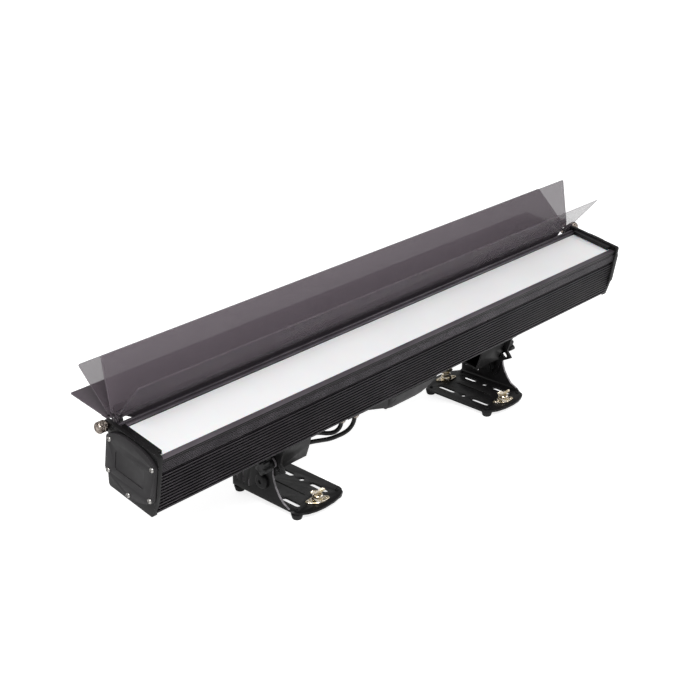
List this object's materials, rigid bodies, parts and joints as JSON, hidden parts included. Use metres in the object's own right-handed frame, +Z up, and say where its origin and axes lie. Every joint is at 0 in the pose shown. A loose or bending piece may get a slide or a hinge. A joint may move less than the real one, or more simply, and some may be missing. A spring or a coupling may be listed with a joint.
{
  "type": "linear floodlight",
  "caption": "Linear LED floodlight: ribbed aluminium housing with opal diffuser, smoked glare leaves on a rear hinge, and tilting slotted feet with quarter-turn locks.",
  "frame": {"origin": "on the floor, at the centre of the space the lamp covers: midway between its feet and midway from the feet's front edge to the rearmost leaf's tip", "axes": "+Z up, +X along the lamp, -Y the side it leans towards; the tilt axis runs along X at y -0.0156, z 0.038"},
  "size_m": [0.9466, 0.1734, 0.272],
  "materials": {
    "anodised_black": "black anodised, satin",
    "painted_black": "black powder coat, satin",
    "cover_grey": "dark grey powder coat, satin",
    "opal_diffuser": "white opal, satin",
    "smoked_sheet": "smoked clear sheet, glossy",
    "bright_steel": "bright, knurled",
    "black_steel": "blackened steel, satin",
    "yellow_zinc": "yellow zinc plating, satin",
    "nickel_brass": "plated brass, satin",
    "black_rubber": "matte",
    "white_board": "white, matte",
    "driver_grey": "grey, satin",
    "cable_black": "smooth jacket, satin"
  },
  "bodies": {
    "foot_body_left": {"foot_left": "painted_black", "pivot_bolt_left": "painted_black", "pivot_nut_left": "black_steel", "clamp_nut_left": "black_steel", "lock_cup_left_front": "yellow_zinc", "lock_cup_left_rear": "yellow_zinc"},
    "knob_body_left": {"tilt_knob_left": "black_rubber"},
    "thumbscrew_body_left": {"thumbscrew_left": "nickel_brass"},
    "stud_body_left_front": {"lock_stud_left_front": "yellow_zinc"},
    "stud_body_left_rear": {"lock_stud_left_rear": "yellow_zinc"},
    "foot_body_right": {"foot_right": "painted_black", "pivot_bolt_right": "painted_black", "pivot_nut_right": "black_steel", "clamp_nut_right": "black_steel", "lock_cup_right_front": "yellow_zinc", "lock_cup_right_rear": "yellow_zinc"},
    "knob_body_right": {"tilt_knob_right": "black_rubber"},
    "thumbscrew_body_right": {"thumbscrew_right": "nickel_brass"},
    "stud_body_right_front": {"lock_stud_right_front": "yellow_zinc"},
    "stud_body_right_rear": {"lock_stud_right_rear": "yellow_zinc"},
    "leaf_body_low": {"leaf_low": "smoked_sheet", "clip_low_left": "painted_black", "clip_low_right": "painted_black"},
    "leaf_body_rear": {"leaf_rear": "smoked_sheet", "clip_rear_left": "painted_black", "clip_rear_right": "painted_black"},
    "leaf_body_upright": {"leaf_upright": "smoked_sheet", "clip_upright_left": "painted_black", "clip_upright_right": "painted_black"},
    "leaf_body_front": {"leaf_front": "smoked_sheet", "clip_front_left": "painted_black", "clip_front_right": "painted_black"},
    "head_body": {"cable_data": "cable_black", "cable_power": "cable_black", "control_box": "cover_grey", "data_gland_box": "nickel_brass", "data_gland_head": "nickel_brass", "data_socket": "black_rubber", "diffuser_gasket": "black_rubber", "diffuser_panel": "opal_diffuser", "driver_module": "driver_grey", "end_cover_left": "cover_grey", "end_cover_right": "cover_grey", "end_plate_left": "painted_black", "end_plate_right": "painted_black", "gland_block": "cover_grey", "hinge_nut_left": "black_steel", "hinge_nut_right": "black_steel", "housing_body": "anodised_black", "led_board": "white_board", "light_tray": "white_board", "power_gland_box": "nickel_brass", "power_gland_head": "nickel_brass", "power_socket": "black_rubber", "retainer_front": "anodised_black", "retainer_rear": "anodised_black", "saddle_left": "painted_black", "saddle_right": "painted_black"}
  },
  "joints": [
    {"name": "head_tilt", "type": "hinge", "parent": "foot_body_left", "child": "head_body", "pos_m": [0, -0.01559, 0.038], "axis": [1, 0, 0], "range_deg": [-20, 54]},
    {"name": "right_foot_tilt", "type": "hinge", "parent": "head_body", "child": "foot_body_right", "pos_m": [0, -0.01559, 0.038], "axis": [1, 0, 0], "range_deg": [-54, 20]},
    {"name": "leaf_low_swing", "type": "hinge", "parent": "head_body", "child": "leaf_body_low", "pos_m": [0, 0.00775, 0.1934], "axis": [1, 0, 0], "range_deg": [-2, 6]},
    {"name": "leaf_rear_swing", "type": "hinge", "parent": "head_body", "child": "leaf_body_rear", "pos_m": [0, 0.00775, 0.1934], "axis": [1, 0, 0], "range_deg": [-6.5, 9.5]},
    {"name": "leaf_upright_swing", "type": "hinge", "parent": "head_body", "child": "leaf_body_upright", "pos_m": [0, 0.00775, 0.1934], "axis": [1, 0, 0], "range_deg": [-5, 17]},
    {"name": "leaf_front_swing", "type": "hinge", "parent": "head_body", "child": "leaf_body_front", "pos_m": [0, 0.00775, 0.1934], "axis": [1, 0, 0], "range_deg": [-10.5, 22.5]},
    {"name": "thumbscrew_turn_left", "type": "hinge", "parent": "head_body", "child": "thumbscrew_body_left", "pos_m": [-0.46, 0.00775, 0.1934], "axis": [-1, 0, 0], "range_deg": [0, 360]},
    {"name": "tilt_knob_turn_left", "type": "hinge", "parent": "foot_body_left", "child": "knob_body_left", "pos_m": [-0.25, -0.03159, 0.069], "axis": [-1, 0, 0], "range_deg": [0, 360]},
    {"name": "lock_turn_left_front", "type": "hinge", "parent": "foot_body_left", "child": "stud_body_left_front", "pos_m": [-0.1965, -0.06959, 0.015], "axis": [0, 0, 1], "range_deg": [0, 90]},
    {"name": "lock_turn_left_rear", "type": "hinge", "parent": "foot_body_left", "child": "stud_body_left_rear", "pos_m": [-0.1965, 0.03841, 0.015], "axis": [0, 0, 1], "range_deg": [0, 90]},
    {"name": "thumbscrew_turn_right", "type": "hinge", "parent": "head_body", "child": "thumbscrew_body_right", "pos_m": [0.46, 0.00775, 0.1934], "axis": [1, 0, 0], "range_deg": [0, 360]},
    {"name": "tilt_knob_turn_right", "type": "hinge", "parent": "foot_body_right", "child": "knob_body_right", "pos_m": [0.25, -0.03159, 0.069], "axis": [1, 0, 0], "range_deg": [0, 360]},
    {"name": "lock_turn_right_front", "type": "hinge", "parent": "foot_body_right", "child": "stud_body_right_front", "pos_m": [0.1965, -0.06959, 0.015], "axis": [0, 0, 1], "range_deg": [0, 90]},
    {"name": "lock_turn_right_rear", "type": "hinge", "parent": "foot_body_right", "child": "stud_body_right_rear", "pos_m": [0.1965, 0.03841, 0.015], "axis": [0, 0, 1], "range_deg": [0, 90]}
  ],
  "couplings": [
    {"joint": "right_foot_tilt", "follows": "head_tilt", "ratio": -1}
  ]
}
